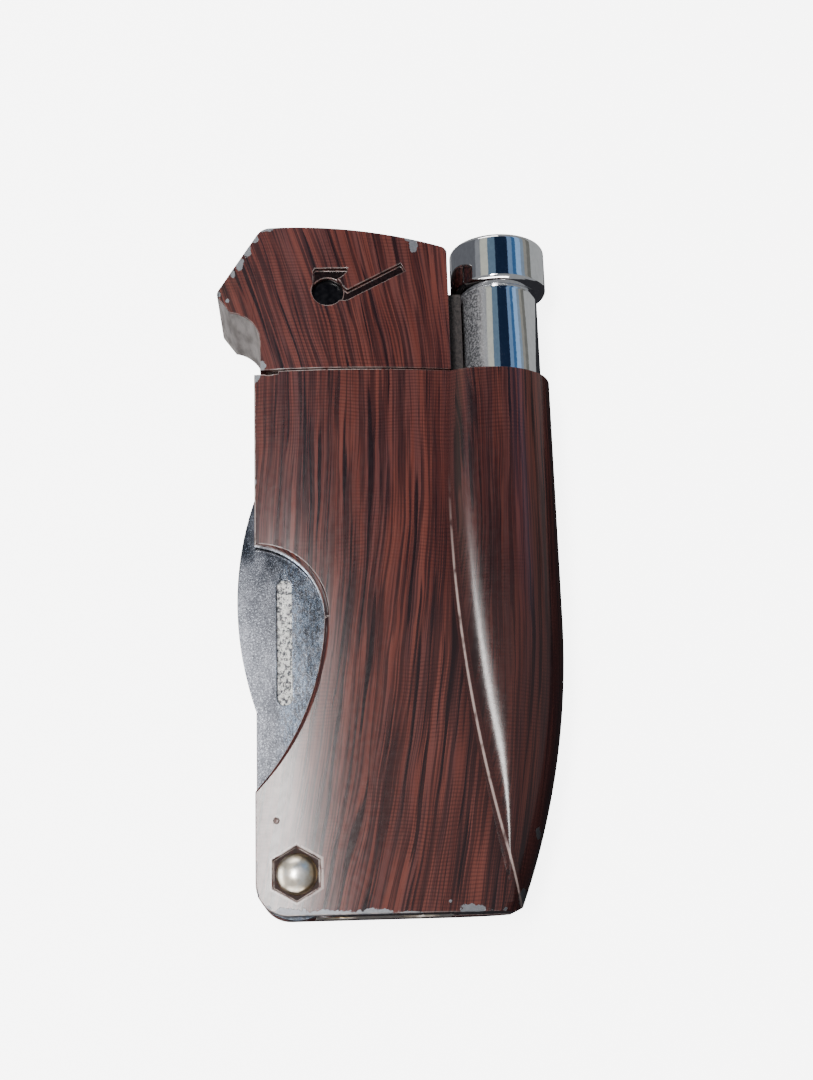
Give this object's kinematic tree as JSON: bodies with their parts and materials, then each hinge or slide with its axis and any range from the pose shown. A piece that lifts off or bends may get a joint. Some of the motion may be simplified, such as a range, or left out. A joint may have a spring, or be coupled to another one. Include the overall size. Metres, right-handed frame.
{
  "type": "gas pipe lighter",
  "caption": "Pocket gas lighter with flint wheel under a hinged cap, folding blade riveted in the body and pull-out tamper, wood-print finish.",
  "frame": {"origin": "under the centre of the whole part, on the plane of the back face it lies on", "axes": "+Y towards the flame end, +Z out of the front face, +X towards the tamper"},
  "size_m": [0.034, 0.0688, 0.012],
  "materials": {
    "wood_print": "satin wood-effect print with chips",
    "chrome": "polished",
    "steel_polished": "polished",
    "steel": "satin",
    "wheel_steel": "dark, hardened",
    "brass": "turned",
    "rivet_brass": "plated, worn",
    "zinc": "bare casting",
    "dark_cast": "rough dark",
    "tank_plastic": "translucent",
    "black_plastic": "smooth",
    "seal_rubber": "matte",
    "flint_stone": "matte"
  },
  "bodies": {
    "frame": {"front_shell": "wood_print", "back_shell": "wood_print", "bottom_plate": "zinc", "gas_tank": "tank_plastic", "blade_liner": "steel", "pivot_spacer": "brass", "pivot_rivet": "rivet_brass", "rivet_back_head": "rivet_brass", "washer_front": "brass", "washer_back": "brass", "flint_tube": "brass", "flint_screw": "steel", "flint_spring": "steel", "flint": "flint_stone", "chassis": "zinc", "tamper_cradle": "dark_cast", "wheel_axle": "steel", "chimney": "chrome", "burner_valve": "brass", "lever_pin": "steel", "fill_valve": "brass", "fill_seal": "seal_rubber", "cap_spring": "steel", "screw_upper": "steel", "screw_lower": "steel"},
    "cap": {"cap_shell": "wood_print", "cap_liner": "black_plastic", "hinge_pin": "steel"},
    "blade": {"blade": "steel_polished"},
    "tamper": {"tamper_tube": "chrome", "tamper_foot": "chrome", "tamper_plug": "zinc", "tamper_ring": "seal_rubber"},
    "spark_wheel": {"spark_wheel": "wheel_steel", "thumb_disc_back": "chrome", "thumb_disc_front": "chrome"},
    "valve_lever": {"valve_lever": "steel"},
    "burner_nozzle": {"burner_nozzle": "brass"},
    "flame_adjuster": {"flame_adjuster": "black_plastic"},
    "fill_stem": {"fill_stem": "steel"}
  },
  "joints": [
    {"name": "cap_hinge", "type": "hinge", "parent": "frame", "child": "cap", "pos_m": [-0.01176, 0.01953, 0.006], "axis": [0, 0, 1], "range_deg": [0, 92]},
    {"name": "blade_pivot", "type": "hinge", "parent": "frame", "child": "blade", "pos_m": [-0.00951, -0.03033, 0.0089], "axis": [0, 0, 1], "range_deg": [0, 180]},
    {"name": "tamper_slide", "type": "slide", "parent": "frame", "child": "tamper", "axis": [0, 1, 0], "range_m": [0, 0.028]},
    {"name": "spark_wheel_spin", "type": "hinge", "parent": "frame", "child": "spark_wheel", "pos_m": [-0.00556, 0.02297, 0.0056], "axis": [0, 0, 1], "continuous": true},
    {"name": "valve_lever_tilt", "type": "hinge", "parent": "frame", "child": "valve_lever", "pos_m": [-0.00216, 0.01628, 0.00835], "axis": [0, 0, 1], "range_deg": [0, 4.2]},
    {"name": "burner_nozzle_lift", "type": "slide", "parent": "frame", "child": "burner_nozzle", "axis": [0, 1, 0], "range_m": [0, 0.0003]},
    {"name": "flame_adjuster_turn", "type": "hinge", "parent": "frame", "child": "flame_adjuster", "pos_m": [0.00084, 0.01932, 0.0056], "axis": [0, 1, 0], "range_deg": [-90, 90]},
    {"name": "fill_stem_push", "type": "slide", "parent": "frame", "child": "fill_stem", "axis": [0, 1, 0], "range_m": [0, 0.0008], "stiffness_N_per_m": 400}
  ],
  "couplings": [
    {"joint": "valve_lever_tilt", "follows": "cap_hinge", "ratio": 0.0435},
    {"joint": "burner_nozzle_lift", "follows": "cap_hinge", "m_per_rad": 0.00015}
  ]
}
